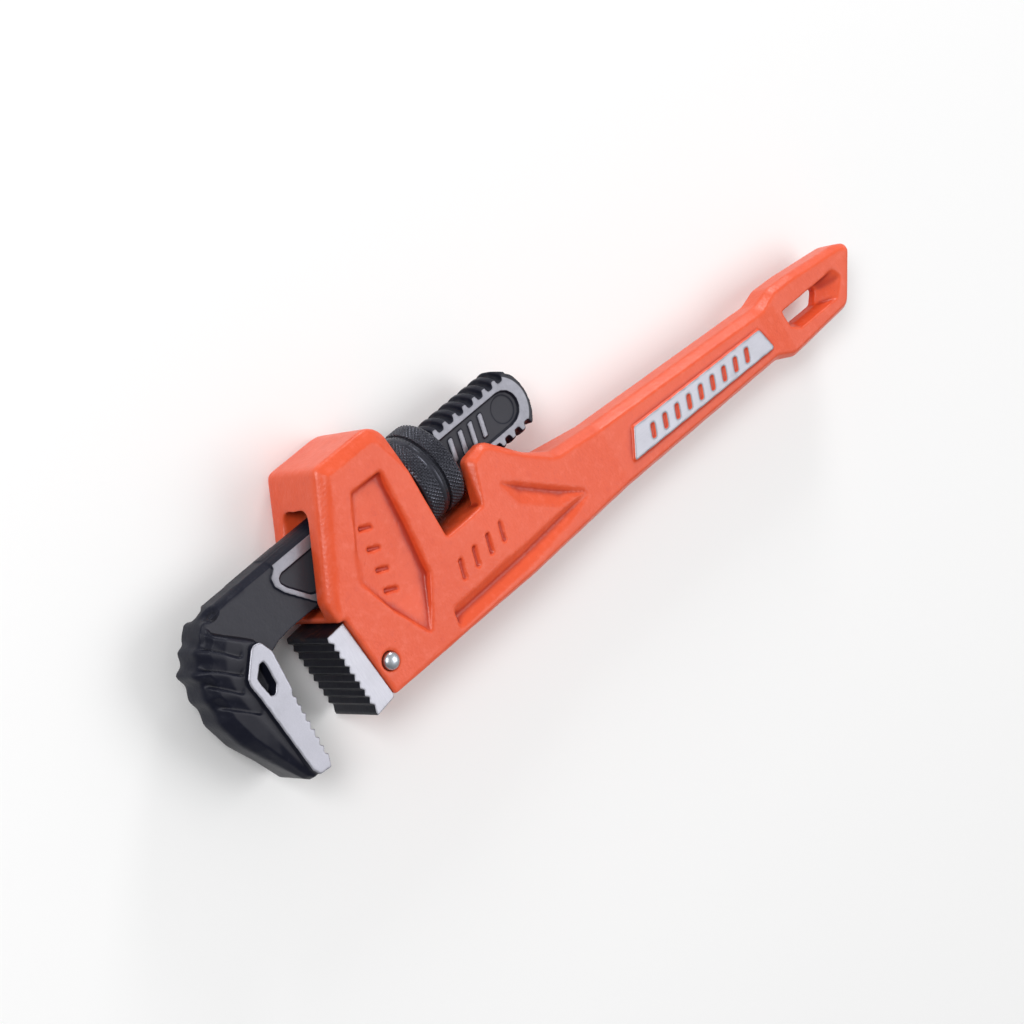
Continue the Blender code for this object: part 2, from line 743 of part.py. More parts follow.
def rounded_bar(x_low, x_high, radius, steps=32):
    """A round bar along X."""
    return cylinder(((x_low + x_high) / 2, 0.0, 0.0), (1, 0, 0), radius, x_high - x_low, steps)


def neck_outline():
    return [(-8.0, -NECK_RADIUS), (24.0, -NECK_RADIUS + 0.3), (31.5, -9.8), (35.0, -6.3), (36.0, 8.0),
            (22.0, 22.0), (19.6, 15.0), (16.6, 12.2), (12.0, 10.6), (6.0, 10.0), (-8.0, 10.0)]


def head_corners():
    """The forged head, ridged at its outer corner: (rim x, rim y, cap x, cap y, drop) for each corner."""
    full = HEAD_BEVEL_DROP
    return [
        (17.6, -11.3, 24.2, -2.8, full), (31.6, -9.6, 28.6, -2.0, full), (34.6, -5.9, 30.2, -0.4, full),
        (38.6, -4.7, 32.0, 1.4, full), (39.8, -1.0, 32.8, 3.6, full), (43.6, 1.0, 34.2, 5.8, full),
        (42.4, 5.7, 34.6, 8.8, full), (44.4, 10.2, 35.2, 11.8, full), (43.2, 14.6, 35.2, 15.0, full),
        (44.6, 19.4, 35.0, 19.0, full), (43.0, 25.4, 34.2, 24.4, full), (42.0, 29.6, 33.4, 28.6, full),
        (39.6, 34.2, 32.6, 33.2, full), (36.6, 40.0, 31.4, 39.5, full), (31.3, 50.4, 29.3, 49.0, 3.0),
        (29.6, 52.0, 28.0, 51.0, 3.0), (24.2, 51.6, 24.6, 50.8, 2.0), (23.0, 47.6, 23.5, 47.4, 0.6),
        (21.8, 24.0, 22.3, 24.0, 0.6), (20.9, 16.0, 21.8, 16.0, 1.2), (16.2, 11.4, 20.2, 10.4, full),
        (12.0, 4.2, 20.4, 3.4, full),
    ]


def lofted_plate(corners, half):
    """Close a plate whose flat sides and rim have their own outlines, with a fuller ring between them."""
    bm = bmesh.new()
    layers = []
    for share, drop_share in ((1.0, 0.0), (0.45, 0.3), (0.0, 1.0)):
        layer = []
        for x, y, cap_x, cap_y, drop in corners:
            layer.append((x + (cap_x - x) * share, y + (cap_y - y) * share, half - drop * drop_share))
        layers.append(layer)
    rings = [[bm.verts.new(p) for p in layer] for layer in layers]
    for layer in reversed(layers):
        rings.append([bm.verts.new((x, y, -z)) for x, y, z in layer])
    bm.faces.new(rings[0])
    bm.faces.new(rings[-1])
    count = len(corners)
    for ring, following in zip(rings, rings[1:]):
        for i in range(count):
            j = (i + 1) % count
            bm.faces.new((ring[i], ring[j], following[j], following[i]))
    return bm


def hook_face_x(y):
    return HOOK_FACE_X + HOOK_FACE_SLOPE * (y - HOOK_FIRST_TOOTH_Y)


def hook_pad_outline():
    """The ground pad on the hook jaw's sides, with the teeth along its inner edge."""
    teeth = []
    for index in range(HOOK_TEETH + 1):
        y = HOOK_FIRST_TOOTH_Y + index * TOOTH_PITCH
        teeth.append((hook_face_x(y), y))
        if index < HOOK_TEETH:
            root_y = y + 0.63 * TOOTH_PITCH
            teeth.append((hook_face_x(root_y) + TOOTH_DEPTH, root_y))
    tip_y = 51.8
    tip = [(hook_face_x(tip_y) + 1.4, tip_y - 0.2), (28.0, 51.0), (29.4, 48.2)]
    back = [(31.0, 19.2), (31.7, 13.8), (31.1, 11.4), (24.9, 4.7), (23.4, 4.0), (20.9, 4.6), (19.2, 6.9),
            (18.9, 9.4), (19.4, 15.2)]
    return teeth + tip + back


def lozenge_outline():
    return [(23.5, 10.0), (25.1, 10.0), (28.4, 13.4), (28.4, 15.0), (27.6, 20.4), (26.6, 21.0), (25.6, 20.6),
            (23.8, 18.6), (23.3, 12.4)]


def thread_grooves():
    """Short helical grooves across the shank's front and back edges."""
    grooves = []
    reach = math.asin(SHANK_HALF / THREAD_RADIUS) + math.radians(9.0)
    turns = int((THREAD_START_X - SHANK_END_X) / THREAD_PITCH) + 2
    minor = THREAD_RADIUS - THREAD_DEPTH
    outer = THREAD_RADIUS + 0.8
    widen = GROOVE_MOUTH + (GROOVE_MOUTH - GROOVE_FLOOR) * 0.8 / THREAD_DEPTH
    for turn in range(turns):
        for side in (0.0, math.pi):
            centre = THREAD_START_X - THREAD_PITCH * (turn - side / (2.0 * math.pi))
            if centre > THREAD_START_X:
                continue
            sections = []
            for step in range(6):
                swing = -reach + 2.0 * reach * step / 5
                x = centre + THREAD_PITCH * swing / (2.0 * math.pi)
                sections.append(helix_section(x, side + swing, widen, GROOVE_FLOOR, outer, minor))
            grooves.append(swept(sections))
    return joined(grooves)


def panel_recess():
    """The sunk panel inside the shank's raised rim."""
    points = []
    centre_x = SHANK_END_X + SHANK_END_ROUND
    for step in range(9):
        angle = math.radians(90.0 + 180.0 * step / 8)
        points.append((centre_x + 6.8 * math.cos(angle), 6.4 * math.sin(angle)))
    points += [(-1.0, -6.4), (0.9, -5.4), (1.3, -3.6), (0.2, -1.4), (-5.6, 5.6), (-7.2, 6.4)]
    return tapered_prism(points, 0.4, SHANK_HALF - PANEL_DEPTH, SHANK_HALF + 1.0)


def shank_marks():
    """Plain raised bars in the shank's sunk panel."""
    base = SHANK_HALF - PANEL_DEPTH - 0.5
    return slanted_bars((-79.5, -0.3, base), (-94.5, -0.3, base), 4, (1.9, 7.6), 2.0, 1.05)


def make_hook_jaw(mat):
    bar = rounded_bar(SHANK_END_X - 5.0, 12.0, THREAD_RADIUS, 40)
    hook = object_from(bar, "hook_jaw", mat)
    plan = cutter_from(prism(shank_outline(), -SHANK_HALF, SHANK_HALF), "shank_plan")
    boolean(hook, plan, "INTERSECT")
    boolean(hook, cutter_from(thread_grooves(), "thread_cut"))
    neck = clipped_neck(prism(neck_outline(), -NECK_HALF, NECK_HALF))
    boolean(hook, cutter_from(neck, "neck_add"), "UNION")
    boolean(hook, cutter_from(lofted_plate(head_corners(), HEAD_HALF), "head_add"), "UNION")
    boolean(hook, cutter_from(prism(hook_pad_outline(), -JAW_HALF, JAW_HALF), "jaw_pad_add"), "UNION")
    boolean(hook, cutter_from(both_sides(panel_recess), "shank_panel_cut"))
    boolean(hook, cutter_from(both_sides(shank_marks), "shank_marks_add"), "UNION")
    disc = both_sides(shank_disc)
    boolean(hook, cutter_from(disc, "shank_disc_cut"))
    boolean(hook, cutter_from(both_sides(lozenge_recess), "lozenge_cut"))
    return hook


def shank_disc():
    """The shallow round recess at the shank's end."""
    depth = 0.35
    floor = SHANK_HALF - PANEL_DEPTH
    centre = (SHANK_END_X + SHANK_END_ROUND, 0.0, floor - depth + 0.5)
    return cylinder(centre, (0, 0, 1), 5.0, 1.0, 24)


def lozenge_recess():
    return tapered_prism(lozenge_outline(), 0.3, JAW_HALF - 4.5, JAW_HALF + 1.0)


def clipped_neck(neck):
    """Chamfer the neck's two back edges so that it follows the round shank."""
    reach = NECK_RADIUS * 0.8 + NECK_HALF * 0.6 - NECK_CHAMFER
    for side in (1, -1):
        normal = Vector((0.0, -0.8, 0.6 * side))
        geometry = neck.verts[:] + neck.edges[:] + neck.faces[:]
        cut = bmesh.ops.bisect_plane(neck, geom=geometry, plane_co=normal * reach, plane_no=normal,
                                     clear_outer=True, dist=1e-4)
        edges = [item for item in cut["geom_cut"] if isinstance(item, bmesh.types.BMEdge)]
        bmesh.ops.holes_fill(neck, edges=edges, sides=0)
    return neck


# ---------------------------------------------------------------- nut

def nut_profile():
    """Closed (x, radius) section of the ring nut, from its front face round to its bore."""
    front = WINDOW_FRONT_X - NUT_END_CLEARANCE
    rear = front - NUT_LENGTH
    groove = rear + NUT_GROOVE_FROM_REAR
    bore = THREAD_RADIUS + THREAD_CLEARANCE
    half = NUT_GROOVE_WIDTH / 2
    return [(front, bore + 0.6), (front, NUT_RADIUS - 1.2), (front - 1.1, NUT_RADIUS - 0.1),
            (groove + half + 1.4, NUT_RADIUS - 0.1), (groove + half + 1.1, NUT_RADIUS - 0.5),
            (groove + half, NUT_RADIUS - 0.5), (groove + half - 0.2, NUT_RADIUS - 0.5 - NUT_GROOVE_DEPTH),
            (groove - half, NUT_RADIUS - 0.5 - NUT_GROOVE_DEPTH), (groove - half, NUT_RADIUS),
            (rear + 0.9, NUT_RADIUS), (rear, NUT_RADIUS - 0.9), (rear, bore + 0.6), (rear + 0.6, bore),
            (front - 0.6, bore)]


def nut_ridge(centre_x):
    """The nut's inner thread, a helical ridge in step with the shank's grooves."""
    half = NUT_LENGTH / 2 - RIDGE_BASE
    bore = THREAD_RADIUS + THREAD_CLEARANCE + 0.5
    tip = THREAD_RADIUS - THREAD_DEPTH + THREAD_CLEARANCE
    offset = (centre_x - THREAD_START_X) % THREAD_PITCH
    start = centre_x - offset
    turn_low = (centre_x - half - start) / THREAD_PITCH
    turn_high = (centre_x + half - start) / THREAD_PITCH
    steps = int((turn_high - turn_low) * 24)
    sections = []
    for step in range(steps + 1):
        turns = turn_low + (turn_high - turn_low) * step / steps
        x = start + turns * THREAD_PITCH
        sections.append(helix_section(x, 2.0 * math.pi * turns, RIDGE_BASE, RIDGE_TIP, bore, tip))
    return swept(sections)


def nut_centre_x():
    return WINDOW_FRONT_X - NUT_END_CLEARANCE - NUT_LENGTH / 2


def make_nut(mat):
    centre = nut_centre_x()
    ring = turned(nut_profile())
    nut = object_from(ring, "adjusting_nut", mat, (centre, 0.0, 0.0))
    boolean(nut, cutter_from(nut_ridge(centre), "nut_thread_add"), "UNION")
    shade(nut)
    return nut


# ---------------------------------------------------------------- springs

def leaf_line():
    """Middle line of the leaf spring: flat under its rivet, then a bow that touches the shank."""
    rest = CHANNEL_FRONT_Y + LEAF_POCKET_DEPTH - TOUCH_GAP - LEAF_THICKNESS / 2
    rise = rest - (THREAD_RADIUS + TOUCH_GAP + LEAF_THICKNESS / 2)
    bow_start = RIVET_X + 4.5
    points = [(LEAF_REAR_X, rest), (bow_start, rest)]
    for step in range(1, 13):
        share = step / 12
        x = bow_start + (LEAF_FRONT_X - bow_start) * share
        points.append((x, rest - rise * math.sin(math.pi * share) ** 2))
    return points


def make_leaf(mat):
    line = leaf_line()
    half = LEAF_THICKNESS / 2
    sections = []
    for x, y in line:
        sections.append([(x, y - half, -LEAF_HALF_WIDTH), (x, y + half, -LEAF_HALF_WIDTH),
                         (x, y + half, LEAF_HALF_WIDTH), (x, y - half, LEAF_HALF_WIDTH)])
    leaf = object_from(swept(sections), "flat_spring", mat)
    hole = cylinder((RIVET_X, line[0][1], 0.0), (0, 1, 0), RIVET_RADIUS + TOUCH_GAP, 4 * LEAF_THICKNESS, 16)
    boolean(leaf, cutter_from(hole, "leaf_hole_cut"))
    return leaf


def make_leaf_rivet(mat):
    leaf_top = leaf_line()[0][1] - LEAF_THICKNESS / 2
    head_base = leaf_top - TOUCH_GAP
    foot = CHANNEL_FRONT_Y + LEAF_POCKET_DEPTH + RIVET_LENGTH - 0.5
    profile = [(head_base - RIVET_HEAD_HEIGHT, RIVET_HEAD_RADIUS - 0.6), (head_base - 0.3, RIVET_HEAD_RADIUS),
               (head_base, RIVET_HEAD_RADIUS), (head_base, RIVET_RADIUS), (foot, RIVET_RADIUS)]
    sections = []
    for y, radius in profile:
        ring = []
        for step in range(20):
            angle = 2.0 * math.pi * step / 20
            ring.append((RIVET_X + radius * math.cos(angle), y, radius * math.sin(angle)))
        sections.append(ring)
    rivet = object_from(swept(sections), "flat_spring_rivet", mat)
    shade(rivet)
    return rivet


def make_coil(mat):
    """A closed helix of round wire between its pocket's floor and the shank's back."""
    low = CHANNEL_BACK_Y - COIL_POCKET_DEPTH + TOUCH_GAP + COIL_WIRE_RADIUS
    high = -THREAD_RADIUS - TOUCH_GAP - COIL_WIRE_RADIUS
    sections = []
    steps = COIL_TURNS * 16
    for step in range(steps + 1):
        share = step / steps
        angle = 2.0 * math.pi * COIL_TURNS * share
        middle = Vector((COIL_X + COIL_RADIUS * math.cos(angle), low + (high - low) * share,
                         COIL_RADIUS * math.sin(angle)))
        outward = Vector((math.cos(angle), 0.0, math.sin(angle)))
        ring = []
        for k in range(8):
            turn = 2.0 * math.pi * k / 8
            ring.append(middle + outward * (COIL_WIRE_RADIUS * math.cos(turn))
                        + Vector((0.0, COIL_WIRE_RADIUS * math.sin(turn), 0.0)))
        sections.append(ring)
    coil = object_from(swept(sections), "coil_spring", mat)
    shade(coil, 60.0)
    return coil


# ---------------------------------------------------------------- assembly

def stand_on_floor(objects):
    """Move the wrench so that its lowest point is at z = 0 and its box is centred on the origin."""
    bpy.context.view_layer.update()
    graph = bpy.context.evaluated_depsgraph_get()
    low = Vector((math.inf,) * 3)
    high = Vector((-math.inf,) * 3)
    for obj in objects:
        seen = obj.evaluated_get(graph)
        for corner in seen.to_mesh().vertices:
            place = seen.matrix_world @ corner.co
            low = Vector(map(min, low, place))
            high = Vector(map(max, high, place))
        seen.to_mesh_clear()
    shift = Vector((-(low.x + high.x) / 2, -(low.y + high.y) / 2, -low.z))
    frame = bpy.data.objects.new("wrench_frame", None)
    bpy.context.collection.objects.link(frame)
    for obj in bpy.data.objects:
        if obj is not frame:
            obj.parent = frame
    frame.location = shift
    bpy.context.view_layer.update()
    return frame


def build():
    clear_scene()
    paint = material("orange_paint", (0.80, 0.13, 0.045), 0.0, 0.42)
    steel = material("ground_steel", (0.62, 0.61, 0.62), 1.0, 0.38)
    black = material("black_oxide", (0.035, 0.036, 0.042), 0.6, 0.45)
    spring = material("spring_steel", (0.40, 0.41, 0.43), 1.0, 0.35)
    objects = [
        make_casting(paint),
        make_heel_jaw(steel),
        make_heel_pin(steel),
        make_hook_jaw(black),
        make_nut(black),
        make_leaf(spring),
        make_leaf_rivet(spring),
        make_coil(spring),
    ]
    stand_on_floor(objects)


build()
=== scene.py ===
"""The pipe wrench's looks: cast, painted, forged, knurled and ground surfaces on its CAD model."""

import math

import bmesh
import bpy
import numpy as np
from mathutils import Matrix, Vector, noise


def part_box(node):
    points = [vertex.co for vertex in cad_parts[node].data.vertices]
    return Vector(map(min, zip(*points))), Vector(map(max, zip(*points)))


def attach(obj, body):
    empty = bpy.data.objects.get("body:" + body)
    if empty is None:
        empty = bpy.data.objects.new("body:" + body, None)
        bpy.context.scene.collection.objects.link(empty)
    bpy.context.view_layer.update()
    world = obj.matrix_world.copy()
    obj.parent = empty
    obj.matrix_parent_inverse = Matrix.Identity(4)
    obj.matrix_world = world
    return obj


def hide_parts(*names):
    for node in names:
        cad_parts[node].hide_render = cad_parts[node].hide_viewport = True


MM = 0.001
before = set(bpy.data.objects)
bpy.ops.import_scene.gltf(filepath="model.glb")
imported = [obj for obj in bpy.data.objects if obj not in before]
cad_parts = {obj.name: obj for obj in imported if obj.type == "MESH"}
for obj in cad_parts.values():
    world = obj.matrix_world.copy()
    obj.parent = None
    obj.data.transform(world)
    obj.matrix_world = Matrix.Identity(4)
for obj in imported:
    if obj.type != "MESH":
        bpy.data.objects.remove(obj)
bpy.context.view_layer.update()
scene = bpy.context.scene

# The nut's axis and centre place everything else; the model's x = 0 is the heel jaw's seat.
nut_low, nut_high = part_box("adjusting_nut")
NUT_X = -64.3 * MM
ORIGIN = (nut_low + nut_high) / 2 - Vector((NUT_X, 0.0, 0.0))
NUT_RADIUS = (nut_high.y - nut_low.y) / 2 / MM
NUT_LENGTH = (nut_high.x - nut_low.x) / MM
RELIEF = "relief"

# The materials' own landmarks, in millimetres from the origin.
PAD_LEVEL = (8.92, 9.0)
PAD_START_X = (-135.0, -136.0)
PAD_END_X = (-226.0, -225.0)
JAW_SIDE_LEVEL = (12.35, 12.5)
HEEL_SIDE_LEVEL = (12.48, 12.6)
RIM_LEVEL = (6.62, 6.70)
RIM_FRONT_X = (4.2, 4.0)
MARKS_LEVEL = (6.24, 6.32)
MARKS_FRONT_X = (-76.0, -76.5)
MARKS_REAR_X = (-98.5, -98.0)
MARKS_HALF_WIDTH = (5.8, 5.6)
TAIL_CENTRE = (-103.8, 0.0, 0.0)
TAIL_X = (-104.5, -103.5)
TAIL_RADIUS = (11.7, 11.3)
GROUND_METAL = 0.72

# The nut's knurl: points around it, the rise of its diamonds, its depth and its bands.
KNURLS = 62
KNURL_RISE = 1.65
KNURL_DEPTH = 0.58
KNURL_CLEARANCE = 0.06
NUT_CHAMFER = 0.9
NUT_GROOVE_X = 7.0
NUT_GROOVE_HALF = 0.5
NUT_BEAD_END = 3.4
NUT_FRONT_CHAMFER = 1.1
BAR_STEP = 0.2
BAR_OVERRUN = 0.4
STEPS_A_KNURL = 10

PIN_DOME = 1.7
PIN_SIDES = 64
PIN_DOME_STEPS = 12


# ---------------------------------------------------------------- node helpers

class Graph:
    """A small wrapper that adds shader nodes and links them."""

    def __init__(self, name):
        self.mat = bpy.data.materials.new(name)
        self.mat.use_nodes = True
        self.tree = self.mat.node_tree
        self.shader = self.tree.nodes["Principled BSDF"]
        self.coords = self.add("ShaderNodeTexCoord")
        shift = self.add("ShaderNodeVectorMath", operation="SUBTRACT")
        shift.inputs[1].default_value = ORIGIN
        self.link(self.coords.outputs["Object"], shift.inputs[0])
        scale = self.add("ShaderNodeVectorMath", operation="SCALE")
        scale.inputs["Scale"].default_value = 1.0 / MM
        self.link(shift.outputs[0], scale.inputs[0])
        self.place = scale.outputs[0]
        split = self.add("ShaderNodeSeparateXYZ")
        self.link(self.place, split.inputs[0])
        self.x, self.y, z = split.outputs
        self.height = self.math("ABSOLUTE", z)
        turn = self.add("ShaderNodeSeparateXYZ")
        self.link(self.coords.outputs["Normal"], turn.inputs[0])
        self.facing = self.math("ABSOLUTE", turn.outputs[2])

    def add(self, kind, **settings):
        node = self.tree.nodes.new(kind)
        for key, value in settings.items():
            setattr(node, key, value)
        return node

    def link(self, source, target):
        self.tree.links.new(source, target)

    def feed(self, value, socket):
        if isinstance(value, bpy.types.NodeSocket):
            self.link(value, socket)
        else:
            socket.default_value = value

    def math(self, operation, a, b=0.0, clamp=False):
        node = self.add("ShaderNodeMath", operation=operation, use_clamp=clamp)
        self.feed(a, node.inputs[0])
        self.feed(b, node.inputs[1])
        return node.outputs[0]

    def step(self, value, low, high):
        """0 below low, 1 above high, smooth between; low may be above high to turn it round."""
        node = self.add("ShaderNodeMapRange", interpolation_type="SMOOTHSTEP")
        self.feed(value, node.inputs["Value"])
        if low < high:
            ends = (low, high, 0.0, 1.0)
        else:
            ends = (high, low, 1.0, 0.0)
        for socket, end in zip(("From Min", "From Max", "To Min", "To Max"), ends):
            node.inputs[socket].default_value = end
        return node.outputs["Result"]

    def spread(self, value, low, high):
        """Spread a 0 to 1 value over low to high."""
        node = self.add("ShaderNodeMapRange")
        self.feed(value, node.inputs["Value"])
        node.inputs["To Min"].default_value = low
        node.inputs["To Max"].default_value = high
        return node.outputs["Result"]

    def noise(self, size, detail=3.0, rough=0.5, stretch=(1.0, 1.0, 1.0)):
        """Noise of features about `size` millimetres, longer along an axis with a stretch over 1."""
        mapping = self.add("ShaderNodeMapping", vector_type="POINT")
        mapping.inputs["Scale"].default_value = [1.0 / (size * s) for s in stretch]
        self.link(self.place, mapping.inputs["Vector"])
        node = self.add("ShaderNodeTexNoise")
        node.inputs["Scale"].default_value = 1.0
        node.inputs["Detail"].default_value = detail
        node.inputs["Roughness"].default_value = rough
        self.link(mapping.outputs[0], node.inputs["Vector"])
        return node.outputs["Fac"]

    def cells(self, size):
        """Rounded cells about `size` millimetres across."""
        mapping = self.add("ShaderNodeMapping")
        mapping.inputs["Scale"].default_value = [1.0 / size] * 3
        self.link(self.place, mapping.inputs["Vector"])
        node = self.add("ShaderNodeTexVoronoi", feature="SMOOTH_F1")
        node.inputs["Scale"].default_value = 1.0
        node.inputs["Smoothness"].default_value = 0.6
        self.link(mapping.outputs[0], node.inputs["Vector"])
        return node.outputs["Distance"]

    def relief(self):
        """How far a point stands out of (+) or sinks under (-) the softened surface, in mm."""
        node = self.add("ShaderNodeAttribute", attribute_name=RELIEF)
        return node.outputs["Fac"]

    def mix(self, share, a, b):
        """Mix two colours."""
        node = self.add("ShaderNodeMix", data_type="RGBA")
        self.feed(share, node.inputs[0])
        self.feed(a, node.inputs[6])
        self.feed(b, node.inputs[7])
        return node.outputs[2]

    def tinted(self, color, where, strength, tint):
        """A colour with a tint laid over it, as strongly as `strength` where `where` is 1."""
        return self.mix(self.math("MULTIPLY", where, strength), color, tint)

    def all_of(self, first, *others):
        """The product of some masks, 1 only where each of them is 1."""
        for other in others:
            first = self.math("MULTIPLY", first, other)
        return first

    def blend(self, share, a, b):
        """Mix two numbers."""
        node = self.add("ShaderNodeMix", data_type="FLOAT")
        self.feed(share, node.inputs[0])
        self.feed(a, node.inputs[2])
        self.feed(b, node.inputs[3])
        return node.outputs[0]

    def bump(self, layers):
        """Stack (height, size in millimetres, strength) layers into one normal."""
        normal = None
        for height, size, strength in layers:
            node = self.add("ShaderNodeBump")
            node.inputs["Distance"].default_value = size * MM
            self.feed(strength, node.inputs["Strength"])
            self.link(height, node.inputs["Height"])
            if normal is not None:
                self.link(normal, node.inputs["Normal"])
            normal = node.outputs["Normal"]
        return normal

    def finish(self, color, roughness, metallic, normal, **constants):
        self.feed(color, self.shader.inputs["Base Color"])
        self.feed(roughness, self.shader.inputs["Roughness"])
        self.feed(metallic, self.shader.inputs["Metallic"])
        self.link(normal, self.shader.inputs["Normal"])
        for key, value in constants.items():
            self.shader.inputs[key.replace("_", " ")].default_value = value
        return self.mat


def rgb(red, green, blue):
    return (red, green, blue, 1.0)


# ---------------------------------------------------------------- materials

def brushed(g, along=(14.0, 0.8, 1.0)):
    """Colour, roughness and bump heights of ground steel, with its scratches along X."""
    streaks = g.noise(0.35, 4.0, 0.6, along)
    patches = g.noise(7.0, 3.0, 0.55)
    color = g.mix(g.spread(streaks, 0.1, 0.9), rgb(0.36, 0.36, 0.41), rgb(0.60, 0.60, 0.66))
    duller = g.math("MULTIPLY", g.step(patches, 0.58, 0.8), 0.5)
    color = g.mix(duller, color, rgb(0.36, 0.355, 0.39))
    roughness = g.spread(g.math("ADD", streaks, g.math("MULTIPLY", patches, 0.6)), 0.30, 0.46)
    return color, roughness, streaks


def paint_material():
    """Orange enamel over cast iron, and the pad that is ground bare on the handle."""
    g = Graph("orange_enamel")
    cloud = g.noise(22.0, 4.0, 0.55)
    mottle = g.noise(3.2, 4.0, 0.6)
    color = g.mix(cloud, rgb(0.73, 0.076, 0.020), rgb(0.80, 0.102, 0.032))
    color = g.tinted(color, g.step(mottle, 0.50, 0.72), 0.35, rgb(0.86, 0.155, 0.085))
    color = g.tinted(color, g.step(mottle, 0.44, 0.30), 0.30, rgb(0.66, 0.060, 0.022))
    specks = g.noise(0.9, 2.0, 0.5)
    color = g.tinted(color, g.step(specks, 0.74, 0.80), 0.5, rgb(0.34, 0.020, 0.008))
    roughness = g.spread(g.noise(5.0, 4.0, 0.6), 0.28, 0.42)

    relief = g.relief()
    # Painted shade: a deep red laid where the skin sinks under its softened surroundings, in
    # recesses, sunk marks and inner corners.
    color = g.tinted(color, g.step(relief, -0.04, -0.50), 0.88, rgb(0.42, 0.026, 0.010))
    # Painted highlight: a lighter pink laid where the skin stands out, on edges and bevels.
    color = g.tinted(color, g.step(relief, 0.25, 1.0), 0.25, rgb(0.90, 0.20, 0.12))

    steel, steel_roughness, streaks = brushed(g, (10.0, 0.7, 1.0))
    pad = g.all_of(g.step(g.height, *PAD_LEVEL), g.step(g.x, *PAD_START_X), g.step(g.x, *PAD_END_X))
    color = g.mix(pad, color, g.mix(0.35, steel, rgb(0.27, 0.27, 0.30)))
    roughness = g.blend(pad, roughness, steel_roughness)

    bare = g.math("SUBTRACT", 1.0, pad)
    normal = g.bump([
        (g.noise(9.0, 2.0, 0.5), 0.5, g.math("MULTIPLY", bare, 0.12)),
        (g.cells(1.05), 0.22, g.math("MULTIPLY", bare, 0.24)),
        (g.noise(0.50, 3.0, 0.6), 0.12, g.math("MULTIPLY", bare, 0.35)),
        (streaks, 0.05, g.math("MULTIPLY", pad, 0.35)),
    ])
    metallic = g.math("MULTIPLY", pad, GROUND_METAL)
    return g.finish(color, roughness, metallic, normal, Specular_IOR_Level=0.42)


def fine_grain(g):
    return g.noise(1.4, 4.0, 0.6)


def faded(g, layers, keep):
    """The same bump layers, weakened where keep is low."""
    return [(height, size, g.math("MULTIPLY", keep, strength)) for height, size, strength in layers]


def black(g):
    """Colour, roughness and bump layers of blackened forged steel."""
    cloud = g.noise(9.0, 4.0, 0.6)
    fine = fine_grain(g)
    color = g.mix(cloud, rgb(0.004, 0.005, 0.012), rgb(0.012, 0.013, 0.024))
    color = g.tinted(color, g.step(fine, 0.58, 0.74), 0.35, rgb(0.027, 0.028, 0.041))
    roughness = g.spread(g.noise(3.0, 4.0, 0.6), 0.36, 0.50)
    layers = [
        (g.noise(4.0, 3.0, 0.55), 0.5, 0.12),
        (g.cells(1.1), 0.12, 0.22),
        (fine, 0.12, 0.28),
    ]
    return color, roughness, layers


def hook_material():
    """Black oxide over the forging, ground bright on the jaw's sides and the shank's raised rim."""
    g = Graph("black_oxide_forging")
    color, roughness, layers = black(g)
    relief = g.relief()
    # Painted shade: near-black laid where the skin sinks into flutes, grooves and inner corners.
    color = g.tinted(color, g.step(relief, -0.04, -0.30), 0.8, rgb(0.006, 0.006, 0.009))
    # Painted highlight, partly also edge wear: a lighter grey on raised edges and thread crests,
    # broken up by noise.
    wear_and_glint = g.spread(g.noise(1.8, 4.0, 0.6), 0.2, 1.0)
    edge = g.math("MULTIPLY", g.step(relief, 0.10, 0.36), wear_and_glint)
    color = g.tinted(color, edge, 0.35, rgb(0.07, 0.07, 0.085))
    # Painted reflection: faces turned along Z laid a lighter grey, standing in for the sheen of the
    # light above.
    color = g.tinted(color, g.step(g.facing, 0.86, 0.985), 0.75, rgb(0.050, 0.050, 0.060))
    steel, steel_roughness, streaks = brushed(g, (1.0, 1.6, 1.0))
    steel = g.mix(0.35, steel, rgb(0.30, 0.30, 0.35))
    on_jaw = g.step(g.height, *JAW_SIDE_LEVEL)
    tail = g.add("ShaderNodeVectorMath", operation="DISTANCE")
    flat = g.add("ShaderNodeCombineXYZ")
    g.link(g.x, flat.inputs[0])
    g.link(g.y, flat.inputs[1])
    g.link(flat.outputs[0], tail.inputs[0])
    tail.inputs[1].default_value = TAIL_CENTRE
    in_tail = g.step(tail.outputs["Value"], *TAIL_RADIUS)
    on_rim = g.all_of(
        g.step(g.height, *RIM_LEVEL),
        g.step(g.x, *RIM_FRONT_X),
        g.step(g.facing, 0.90, 0.96),
        g.math("MAXIMUM", g.step(g.x, *TAIL_X), in_tail),
    )
    on_marks = g.all_of(
        g.step(g.height, *MARKS_LEVEL),
        g.step(g.x, *MARKS_FRONT_X),
        g.step(g.x, *MARKS_REAR_X),
        g.step(g.math("ABSOLUTE", g.y), *MARKS_HALF_WIDTH),
    )
    worn = g.spread(g.noise(2.2, 4.0, 0.6), 0.55, 1.0)
    shank = g.math("MULTIPLY", g.math("MAXIMUM", on_rim, on_marks), worn)
    ground = g.math("MAXIMUM", on_jaw, shank)
    steel = g.mix(g.math("MULTIPLY", shank, 0.5), steel, rgb(0.20, 0.20, 0.23))
    color = g.mix(ground, color, steel)
    roughness = g.blend(ground, roughness, steel_roughness)
    layers = faded(g, layers, g.math("SUBTRACT", 1.0, ground))
    layers.append((streaks, 0.06, g.math("MULTIPLY", ground, 0.4)))
    metallic = g.blend(ground, 0.08, GROUND_METAL)
    return g.finish(color, roughness, metallic, g.bump(layers), Specular_IOR_Level=0.18)


